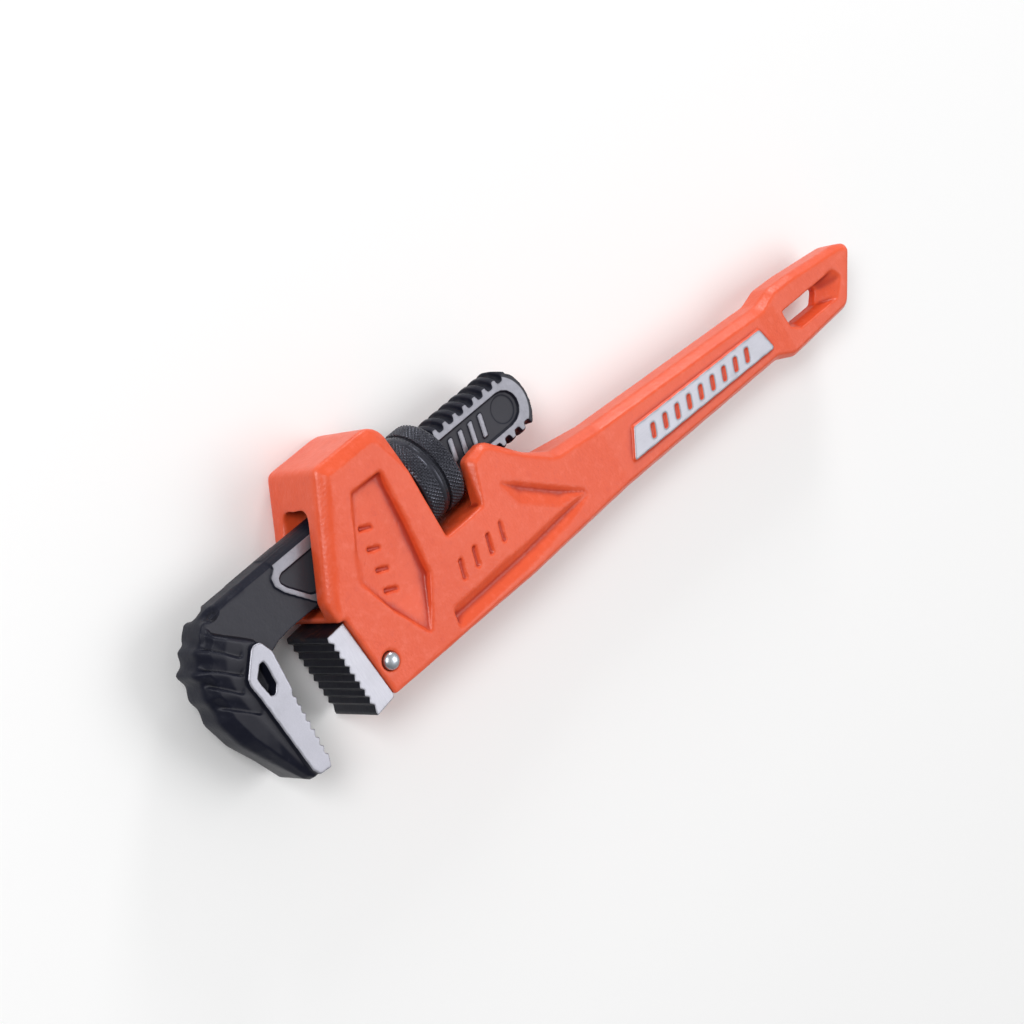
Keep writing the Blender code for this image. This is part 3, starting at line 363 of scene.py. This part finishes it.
def heel_material():
    """Ground bright on the two sides; the toothed face and the top stay dark from hardening."""
    g = Graph("hardened_jaw_steel")
    dark, dark_roughness, layers = black(g)
    rust = g.noise(2.6, 4.0, 0.65)
    top = g.step(g.y, 19.6, 18.4)
    dark = g.mix(g.math("MULTIPLY", top, g.step(rust, 0.50, 0.66)), dark, rgb(0.075, 0.030, 0.018))
    steel, steel_roughness, streaks = brushed(g, (1.0, 9.0, 1.0))
    ground = g.step(g.height, *HEEL_SIDE_LEVEL)
    color = g.mix(ground, dark, steel)
    roughness = g.blend(ground, dark_roughness, steel_roughness)
    layers = faded(g, layers, g.math("SUBTRACT", 1.0, ground))
    layers.append((streaks, 0.05, g.math("MULTIPLY", ground, 0.3)))
    metallic = g.blend(ground, 0.3, GROUND_METAL)
    return g.finish(color, roughness, metallic, g.bump(layers))


def nut_material():
    """Black oxide, a little shinier than the forging where fingers rub it."""
    g = Graph("black_oxide_nut")
    patches = g.noise(4.0, 3.0, 0.6)
    color = g.mix(patches, rgb(0.030, 0.031, 0.042), rgb(0.065, 0.067, 0.084))
    roughness = g.spread(g.noise(2.0, 4.0, 0.6), 0.22, 0.34)
    return g.finish(color, roughness, 0.7, g.bump([(fine_grain(g), 0.12, 0.28)]))


def steel_material(name, tone, size):
    """Bright drawn or headed steel for the pin and the springs."""
    g = Graph(name)
    fine = g.noise(size, 4.0, 0.6)
    patches = g.noise(size * 6.0, 3.0, 0.5)
    color = g.mix(fine, rgb(*(0.72 * c for c in tone)), rgb(*tone))
    color = g.tinted(color, g.step(patches, 0.55, 0.75), 0.4, rgb(*(0.5 * c for c in tone)))
    roughness = g.spread(patches, 0.22, 0.42)
    return g.finish(color, roughness, 1.0, g.bump([(fine, 0.06, 0.3)]))


# ---------------------------------------------------------------- meshes

def dress(mesh, mat):
    mesh.materials.clear()
    mesh.materials.append(mat)


def add_object(name, mesh, mat):
    obj = bpy.data.objects.new(name, mesh)
    scene.collection.objects.link(obj)
    dress(mesh, mat)
    mesh.shade_smooth()
    return obj


def take_shape(obj, mat):
    """Give an object the mesh that its modifiers make, and drop the modifiers."""
    graph = bpy.context.evaluated_depsgraph_get()
    mesh = bpy.data.meshes.new_from_object(obj.evaluated_get(graph))
    obj.modifiers.clear()
    obj.data = mesh
    dress(mesh, mat)
    mesh.shade_smooth()
    return mesh


def welded_copy(node):
    """A copy of a CAD node's mesh whose triangles share their corners."""
    bm = bmesh.new()
    bm.from_mesh(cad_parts[node].data)
    bmesh.ops.remove_doubles(bm, verts=bm.verts, dist=1e-6)
    mesh = bpy.data.meshes.new(node + "_skin")
    bm.to_mesh(mesh)
    bm.free()
    return mesh


def keep_largest(mesh):
    """Weld a mesh and drop everything but its largest connected shell."""
    bm = bmesh.new()
    bm.from_mesh(mesh)
    bmesh.ops.remove_doubles(bm, verts=bm.verts, dist=2e-6)
    bmesh.ops.dissolve_degenerate(bm, edges=bm.edges, dist=1e-6)
    bmesh.ops.triangulate(bm, faces=bm.faces)
    for face in bm.faces:
        face.tag = False
    shells = []
    for first in bm.faces:
        if first.tag:
            continue
        first.tag = True
        shell = [first]
        for face in shell:
            for edge in face.edges:
                for other in edge.link_faces:
                    if not other.tag:
                        other.tag = True
                        shell.append(other)
        shells.append(shell)
    shells.sort(key=len)
    stray = [face for shell in shells[:-1] for face in shell]
    bmesh.ops.delete(bm, geom=stray, context="FACES")
    bm.to_mesh(mesh)
    bm.free()


def softened(points, edges, weights, passes):
    """Pull every point towards the middle of its neighbours, by its own weight, again and again."""
    points = points.copy()
    count = len(points)
    ends = np.concatenate([edges, edges[:, ::-1]])
    neighbours = np.bincount(ends[:, 0], minlength=count)
    for _ in range(passes):
        for axis in range(3):
            total = np.bincount(ends[:, 0], points[ends[:, 1], axis], minlength=count)
            points[:, axis] += weights * 0.5 * (total / neighbours - points[:, axis])
    return points


def read_points(mesh):
    points = np.empty(len(mesh.vertices) * 3)
    mesh.vertices.foreach_get("co", points)
    return points.reshape(-1, 3)


def write_points(mesh, points):
    mesh.vertices.foreach_set("co", points.ravel())
    mesh.update()


def read_edges(mesh):
    edges = np.empty(len(mesh.edges) * 2, dtype=np.int64)
    mesh.edges.foreach_get("vertices", edges)
    return edges.reshape(-1, 2)


def read_normals(mesh):
    normals = np.empty(len(mesh.vertices) * 3)
    mesh.vertices.foreach_get("normal", normals)
    return normals.reshape(-1, 3)


def ramp(values, low, high):
    """0 at low, 1 at high, smooth between; low may be above high."""
    share = np.clip((values - low) / (high - low), 0.0, 1.0)
    return share * share * (3.0 - 2.0 * share)


def inside(places, low, high, fade):
    """1 inside a box given by its low and high (x, y, |z|), fading to 0 outside it."""
    result = np.ones(len(places))
    for axis in range(3):
        values = np.abs(places[:, axis]) if axis == 2 else places[:, axis]
        result *= ramp(values, low[axis] - fade, low[axis])
        result *= ramp(values, high[axis] + fade, high[axis])
    return result


def places_of(points):
    """Points in millimetres from the model's own origin."""
    return (points - np.array(ORIGIN)) / MM


def recast(node, name, mat, voxel, soften):
    """Rebuild a CAD node as an even skin and round its edges, as casting and forging do.

    soften is a list of (passes, weights of the places) in the order they are done.
    """
    obj = add_object(name, welded_copy(node), mat)
    remesh = obj.modifiers.new("even_skin", "REMESH")
    remesh.mode = "VOXEL"
    remesh.voxel_size = voxel * MM
    mesh = take_shape(obj, mat)
    edges = read_edges(mesh)
    points = read_points(mesh)
    for passes, weights in soften:
        points = softened(points, edges, weights(places_of(points)), passes)
    write_points(mesh, points)
    return obj


def note_relief(obj, passes):
    """Store how far each point stands above its softened surroundings, for the material to read."""
    mesh = obj.data
    points = read_points(mesh)
    middle = softened(points, read_edges(mesh), np.ones(len(points)), passes)
    height = np.einsum("ij,ij->i", points - middle, read_normals(mesh)) / MM
    layer = mesh.attributes.new(RELIEF, "FLOAT", "POINT")
    layer.data.foreach_set("value", height.astype(np.float32))


def push(obj, depths):
    """Move each point along its normal by a depth in millimetres."""
    mesh = obj.data
    write_points(mesh, read_points(mesh) + read_normals(mesh) * (depths * MM)[:, None])


def roughened(places, size, amount):
    """Two octaves of noise, as heights in millimetres."""
    heights = np.empty(len(places))
    for index, place in enumerate(places):
        at = Vector(place)
        heights[index] = noise.noise(at / size) + 0.5 * noise.noise(at / (size * 0.45))
    return heights * amount


def polyline_reach(places, line):
    """Vector from the nearest point of a polyline to each place."""
    best = np.full(len(places), np.inf)
    reach = np.zeros((len(places), 3))
    for start, end in zip(line, line[1:]):
        start, end = np.array(start), np.array(end)
        along = end - start
        share = np.clip((places - start) @ along / (along @ along), 0.0, 1.0)
        gap = places - (start + share[:, None] * along)
        distance = np.einsum("ij,ij->i", gap, gap)
        nearer = distance < best
        best[nearer] = distance[nearer]
        reach[nearer] = gap[nearer]
    return reach


# ---------------------------------------------------------------- pieces


def casting_marks(places):
    """1 on the ground pad and the sunk marks, which keep their edges."""
    pad = inside(places, (-225.0, 30.0, 8.2), (-137.0, 54.0, 20.0), 0.6)
    panel = inside(places, (-36.0, -6.5, 8.0), (-23.0, 25.0, 20.0), 1.0)
    web = inside(places, (-79.0, 25.5, 6.0), (-50.0, 35.5, 20.0), 1.0)
    return np.maximum(pad, np.maximum(panel, web))


def make_casting(mat):
    def everywhere(places):
        hole = inside(places, (-262.0, 36.0, 0.0), (-232.0, 56.0, 20.0), 1.0)
        return 1.0 - 0.75 * np.maximum(casting_marks(places), hole)

    def nose(places):
        front = inside(places, (-22.0, -60.0, 5.0), (9.0, 8.0, 20.0), 6.0)
        return front * (1.0 - casting_marks(places))

    soften = [(8, everywhere), (26, nose)]
    casting = recast("handle_casting", "casting_skin", mat, 0.45, soften)
    places = places_of(read_points(casting.data))
    push(casting, roughened(places, 11.0, 0.05) * (1.0 - casting_marks(places)))
    note_relief(casting, 90)
    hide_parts("handle_casting")
    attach(casting, "housing")


# The flutes forged into the hook's outer corner: the low edge of each, as (x, y, |z|), and its
# depth, in millimetres.
FLUTES = [
    (((32.3, -9.2, 4.5), (31.2, -4.7, 9.0), (27.9, -1.8, 10.7), (24.5, 1.4, 10.7)), 0.40),
    (((36.9, -5.2, 1.5), (34.7, -3.1, 8.1), (32.2, -0.1, 10.0), (28.8, 4.1, 10.6)), 1.05),
    (((41.2, -0.3, 1.5), (40.1, 0.8, 6.7), (37.1, 3.5, 9.4), (31.8, 8.7, 10.7)), 1.15),
    (((42.5, 5.2, 1.5), (40.7, 6.9, 7.3), (38.7, 9.2, 9.3), (34.9, 13.6, 10.5)), 0.95),
    (((42.6, 13.6, 7.0), (40.2, 15.8, 8.4), (36.9, 19.1, 10.0), (33.5, 22.5, 10.5)), 0.80),
]
FLUTE_STEP = np.array((0.64, 0.77, 0.0))
FLUTE_WALL = 0.75
FLUTE_LENGTH = 4.2
DIMPLE = (26.6, -9.9, 4.6)
DIMPLE_DEPTH = 1.6
ACROSS = np.array((1.0, 1.0, 0.0))


def flute_depths(places):
    """How deep the flutes and the dimple cut the hook's skin, in millimetres."""
    folded = places.copy()
    folded[:, 2] = np.abs(places[:, 2])
    deepest = np.zeros(len(places))
    for line, depth in FLUTES:
        reach = polyline_reach(folded, line)
        across = reach @ FLUTE_STEP
        aside = np.linalg.norm(reach - across[:, None] * FLUTE_STEP, axis=1)
        wall = ramp(across, FLUTE_WALL, 0.0)
        floor = np.clip(1.0 + across / FLUTE_LENGTH, 0.0, 1.0) ** 1.3
        scoop = np.where(across > 0.0, wall, floor)
        cut = depth * scoop * ramp(aside, 2.4, 0.6)
        deepest = np.maximum(deepest, cut)
    deepest *= ramp(folded[:, 2], 1.2, 4.0) * ramp(folded[:, 2], 12.2, 11.4)
    under = ramp(places[:, 2], 0.0, -3.0) * ramp(folded[:, 2], 10.5, 8.5)
    deepest *= 1.0 - 0.6 * under
    reach = np.linalg.norm(folded - np.array(DIMPLE), axis=1)
    return np.maximum(deepest, DIMPLE_DEPTH * ramp(reach, 3.7, 1.9))


# Where the head's mass begins, seen from the side: the neck's flat carries on up to this line.
HEAD_START = ((32.6, -13.0), (31.6, -5.2), (27.9, -1.8), (23.8, 2.0), (20.6, 5.2), (18.0, 12.0))
TO_NECK = np.array((-0.66, -0.75, 0.0))
NECK_FLAT = 6.25
HEAD_RISE = 7.0


def neck_heights(places):
    """The greatest |z| of the hook's skin, which keeps the neck flat up to the head."""
    line = [(x, y, 0.0) for x, y in HEAD_START]
    reach = polyline_reach(places * ACROSS, line)
    before = ramp(reach @ TO_NECK, -0.25, 0.95)
    before *= ramp(places[:, 0], 6.0, 8.0)
    return NECK_FLAT + HEAD_RISE * (1.0 - before)


def make_hook(mat):
    def everywhere(places):
        jaw_sides = ramp(np.abs(places[:, 2]), 11.6, 12.2)
        shank = ramp(places[:, 0], 4.0, 0.0)
        return 1.0 - 0.6 * np.maximum(jaw_sides, shank)

    hook = recast("hook_jaw", "hook_skin", mat, 0.3, [(5, everywhere)])
    places = places_of(read_points(hook.data))
    forged = ramp(places[:, 0], 4.0, 14.0) * ramp(np.abs(places[:, 2]), 12.3, 11.8)
    push(hook, roughened(places, 6.0, 0.05) * forged - flute_depths(places))
    mesh = hook.data
    points = read_points(mesh)
    places = places_of(points)
    tallest = neck_heights(places) * MM
    on_neck = (places[:, 0] > 8.0) & (places[:, 1] < 12.0)
    flattened = np.clip(points[:, 2], ORIGIN.z - tallest, ORIGIN.z + tallest)
    points[:, 2] = np.where(on_neck, flattened, points[:, 2])
    write_points(mesh, points)
    places = places_of(points)
    loose = ramp(places[:, 0], 8.0, 14.0) * ramp(np.abs(places[:, 2]), 12.0, 11.4)
    points = softened(points, read_edges(mesh), loose, 3)
    spine = ramp(places[:, 0], 27.0, 31.0) * ramp(np.abs(places[:, 2]), 7.0, 4.0)
    bevel = inside(places, (14.0, -13.0, 4.0), (22.0, -9.2, 8.0), 1.5)
    write_points(mesh, softened(points, read_edges(mesh), np.maximum(spine, bevel), 80))
    note_relief(hook, 24)
    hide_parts("hook_jaw")
    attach(hook, "hook")


def make_heel(mat):
    soften = [(3, lambda places: np.ones(len(places)))]
    heel = recast("heel_jaw", "heel_jaw_skin", mat, 0.22, soften)
    note_relief(heel, 12)
    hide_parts("heel_jaw")
    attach(heel, "housing")


def make_pin(mat):
    """The pin's shank and its two domed heads, turned as one skin."""
    low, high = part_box("heel_jaw_pin")
    centre = (low + high) / 2
    radius = (high.x - low.x) / 2
    half = (high.z - low.z) / 2
    dome = PIN_DOME * MM
    profile = []
    for step in range(1, PIN_DOME_STEPS + 1):
        angle = math.pi / 2 * step / PIN_DOME_STEPS
        profile.append((-half + dome * (1.0 - math.cos(angle)), radius * math.sin(angle)))
    profile += [(-along, reach) for along, reach in reversed(profile)]
    bm = bmesh.new()
    turns = [2.0 * math.pi * step / PIN_SIDES for step in range(PIN_SIDES)]
    rings = []
    for along, reach in profile:
        places = [(reach * math.cos(turn), reach * math.sin(turn), along) for turn in turns]
        rings.append([bm.verts.new(centre + Vector(place)) for place in places])
    for here, there in zip(rings, rings[1:]):
        for k in range(PIN_SIDES):
            j = (k + 1) % PIN_SIDES
            bm.faces.new((here[k], here[j], there[j], there[k]))
    for ring, end in ((rings[0], -half), (rings[-1], half)):
        tip = bm.verts.new(centre + Vector((0.0, 0.0, end)))
        for k in range(PIN_SIDES):
            bm.faces.new((ring[k], ring[(k + 1) % PIN_SIDES], tip))
    bmesh.ops.recalc_face_normals(bm, faces=bm.faces)
    mesh = bpy.data.meshes.new("pin_skin")
    bm.to_mesh(mesh)
    bm.free()
    pin = add_object("pin_skin", mesh, mat)
    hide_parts("heel_jaw_pin")
    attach(pin, "housing")


def ridge(value):
    """A triangle wave between 0 and 1."""
    return 1.0 - abs(2.0 * (value % 1.0) - 1.0)


def knurl(angle, along):
    """Height of a diamond knurl, 0 in its grooves and 1 on its points."""
    around = angle * KNURLS / (2.0 * math.pi)
    across = along / KNURL_RISE
    return min(1.0, 1.7 * min(ridge(around + across), ridge(around - across)))


def nut_radius(angle, along):
    """Radius of the nut's outside, in millimetres, at a distance along it from its rear face."""
    tip = NUT_RADIUS - KNURL_CLEARANCE
    dip = KNURL_DEPTH * (1.0 - knurl(angle, along))
    if along < NUT_CHAMFER:
        return tip - NUT_CHAMFER + along - dip * max(0.0, along / NUT_CHAMFER)
    if along < NUT_GROOVE_X - NUT_GROOVE_HALF:
        return tip - dip
    if along < NUT_GROOVE_X + NUT_GROOVE_HALF:
        return tip - 1.3
    if along < NUT_GROOVE_X + NUT_BEAD_END:
        share = (along - NUT_GROOVE_X - NUT_GROOVE_HALF) / (NUT_BEAD_END - NUT_GROOVE_HALF)
        return tip - 0.60 + 0.45 * max(0.0, math.sin(math.pi * share)) ** 0.6
    if along < NUT_LENGTH - NUT_FRONT_CHAMFER:
        return tip - 0.1 - dip
    fall = min(1.4, (along - NUT_LENGTH + NUT_FRONT_CHAMFER) / NUT_FRONT_CHAMFER)
    return tip - 0.1 - NUT_FRONT_CHAMFER * fall - dip * max(0.0, 1.0 - fall)


def make_nut(mat):
    """The CAD nut cut down by a knurled bar, so its thread and ends stay as they are."""
    count = int((NUT_LENGTH + 2 * BAR_OVERRUN) / BAR_STEP) + 1
    places = {round(-BAR_OVERRUN + k * BAR_STEP, 3) for k in range(count)}
    places.add(NUT_LENGTH + BAR_OVERRUN)
    places |= {6.49, 6.51, 7.49, 7.51, 10.39, 10.41}
    places = sorted(places)
    steps = KNURLS * STEPS_A_KNURL
    bm = bmesh.new()
    centre = (nut_low + nut_high) / 2
    rings = []
    for step in range(steps):
        angle = 2.0 * math.pi * step / steps
        ring = []
        for along in places:
            radius = nut_radius(angle, along) * MM
            beside = (along - NUT_LENGTH / 2) * MM
            offset = Vector((beside, radius * math.cos(angle), radius * math.sin(angle)))
            ring.append(bm.verts.new(centre + offset))
        rings.append(ring)
    for here, there in zip(rings, rings[1:] + rings[:1]):
        for k in range(len(places) - 1):
            bm.faces.new((here[k], here[k + 1], there[k + 1], there[k]))
    bm.faces.new([ring[0] for ring in rings])
    bm.faces.new([ring[-1] for ring in rings])
    bmesh.ops.recalc_face_normals(bm, faces=bm.faces)
    bar_mesh = bpy.data.meshes.new("knurled_bar")
    bm.to_mesh(bar_mesh)
    bm.free()
    bar = bpy.data.objects.new("knurled_bar", bar_mesh)
    scene.collection.objects.link(bar)
    nut = add_object("nut_skin", welded_copy("adjusting_nut"), mat)
    cut = nut.modifiers.new("knurl", "BOOLEAN")
    cut.operation = "INTERSECT"
    cut.solver = "EXACT"
    cut.object = bar
    mesh = take_shape(nut, mat)
    keep_largest(mesh)
    mesh.shade_smooth()
    bpy.data.objects.remove(bar)
    mesh.set_sharp_from_angle(angle=math.radians(50.0))
    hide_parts("adjusting_nut")
    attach(nut, "nut")


def dress_springs(mat):
    for node in ("flat_spring", "flat_spring_rivet", "coil_spring"):
        dress(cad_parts[node].data, mat)


# ---------------------------------------------------------------- studio

CAMERA_PLACE = Vector((0.3128, -0.2063, 0.6315))
CAMERA_TARGET = Vector((-0.0910, 0.0324, 0.0))
CAMERA_UP = Vector((-0.5692, -0.8205, 0.0538))
LIGHT_AIM = Vector((-0.10, 0.0, 0.0))
FLOOR_HALF = 14.0


def look(position, target, up):
    """The matrix of something at position that looks at target."""
    back = (position - target).normalized()
    right = up.cross(back).normalized()
    matrix = Matrix((right, back.cross(right), back)).transposed().to_4x4()
    matrix.translation = position
    return matrix


def make_camera():
    camera = bpy.data.objects.new("camera", bpy.data.cameras.new("camera"))
    scene.collection.objects.link(camera)
    camera.matrix_world = look(ORIGIN + CAMERA_PLACE, ORIGIN + CAMERA_TARGET, CAMERA_UP)
    camera.data.sensor_width = 36.0
    camera.data.lens = 80.86
    camera.data.clip_start = 0.01
    scene.camera = camera


def make_light(name, offset, size, power):
    """A rectangular soft light that looks at the middle of the wrench."""
    data = bpy.data.lights.new(name, "AREA")
    data.shape = "RECTANGLE"
    data.size, data.size_y = size
    data.energy = power
    light = bpy.data.objects.new(name, data)
    scene.collection.objects.link(light)
    aim = ORIGIN + LIGHT_AIM
    light.matrix_world = look(aim + Vector(offset), aim, Vector((0.0, 0.3, 1.0)))


def make_floor():
    bm = bmesh.new()
    bmesh.ops.create_grid(bm, x_segments=8, y_segments=8, size=FLOOR_HALF)
    mesh = bpy.data.meshes.new("floor")
    bm.to_mesh(mesh)
    bm.free()
    mat = bpy.data.materials.new("studio_floor")
    mat.use_nodes = True
    shader = mat.node_tree.nodes["Principled BSDF"]
    shader.inputs["Base Color"].default_value = rgb(0.93, 0.93, 0.93)
    shader.inputs["Roughness"].default_value = 0.9
    floor = add_object("floor", mesh, mat)


def make_studio():
    """A soft white surround, brightest above and towards the handle, with three soft lights."""
    world = bpy.data.worlds.new("studio")
    world.use_nodes = True
    tree = world.node_tree
    sky = tree.nodes["Background"]
    coords = tree.nodes.new("ShaderNodeTexCoord")
    towards = tree.nodes.new("ShaderNodeVectorMath")
    towards.operation = "DOT_PRODUCT"
    towards.inputs[1].default_value = Vector((-0.60, -0.35, 0.70)).normalized()
    tree.links.new(coords.outputs["Generated"], towards.inputs[0])
    fade = tree.nodes.new("ShaderNodeMapRange")
    fade.inputs["From Min"].default_value = -0.4
    fade.inputs["From Max"].default_value = 0.9
    fade.inputs["To Min"].default_value = 0.18
    fade.inputs["To Max"].default_value = 0.57
    tree.links.new(towards.outputs["Value"], fade.inputs["Value"])
    tree.links.new(fade.outputs["Result"], sky.inputs["Strength"])
    sky.inputs["Color"].default_value = rgb(1.0, 1.0, 1.0)
    scene.world = world
    scene.view_settings.view_transform = "Standard"
    make_light("key", (0.92, -0.85, 1.25), (0.7, 0.5), 15.0)
    make_light("top", (-0.85, 0.45, 1.35), (1.0, 1.0), 7.8)
    make_light("rim", (-0.72, -0.88, 0.30), (0.25, 0.25), 4.2)
    make_floor()


make_casting(paint_material())
make_hook(hook_material())
make_heel(heel_material())
make_pin(steel_material("pin_steel", (0.62, 0.66, 0.72), 0.5))
make_nut(nut_material())
dress_springs(steel_material("spring_steel_drawn", (0.42, 0.43, 0.46), 0.4))
make_camera()
make_studio()
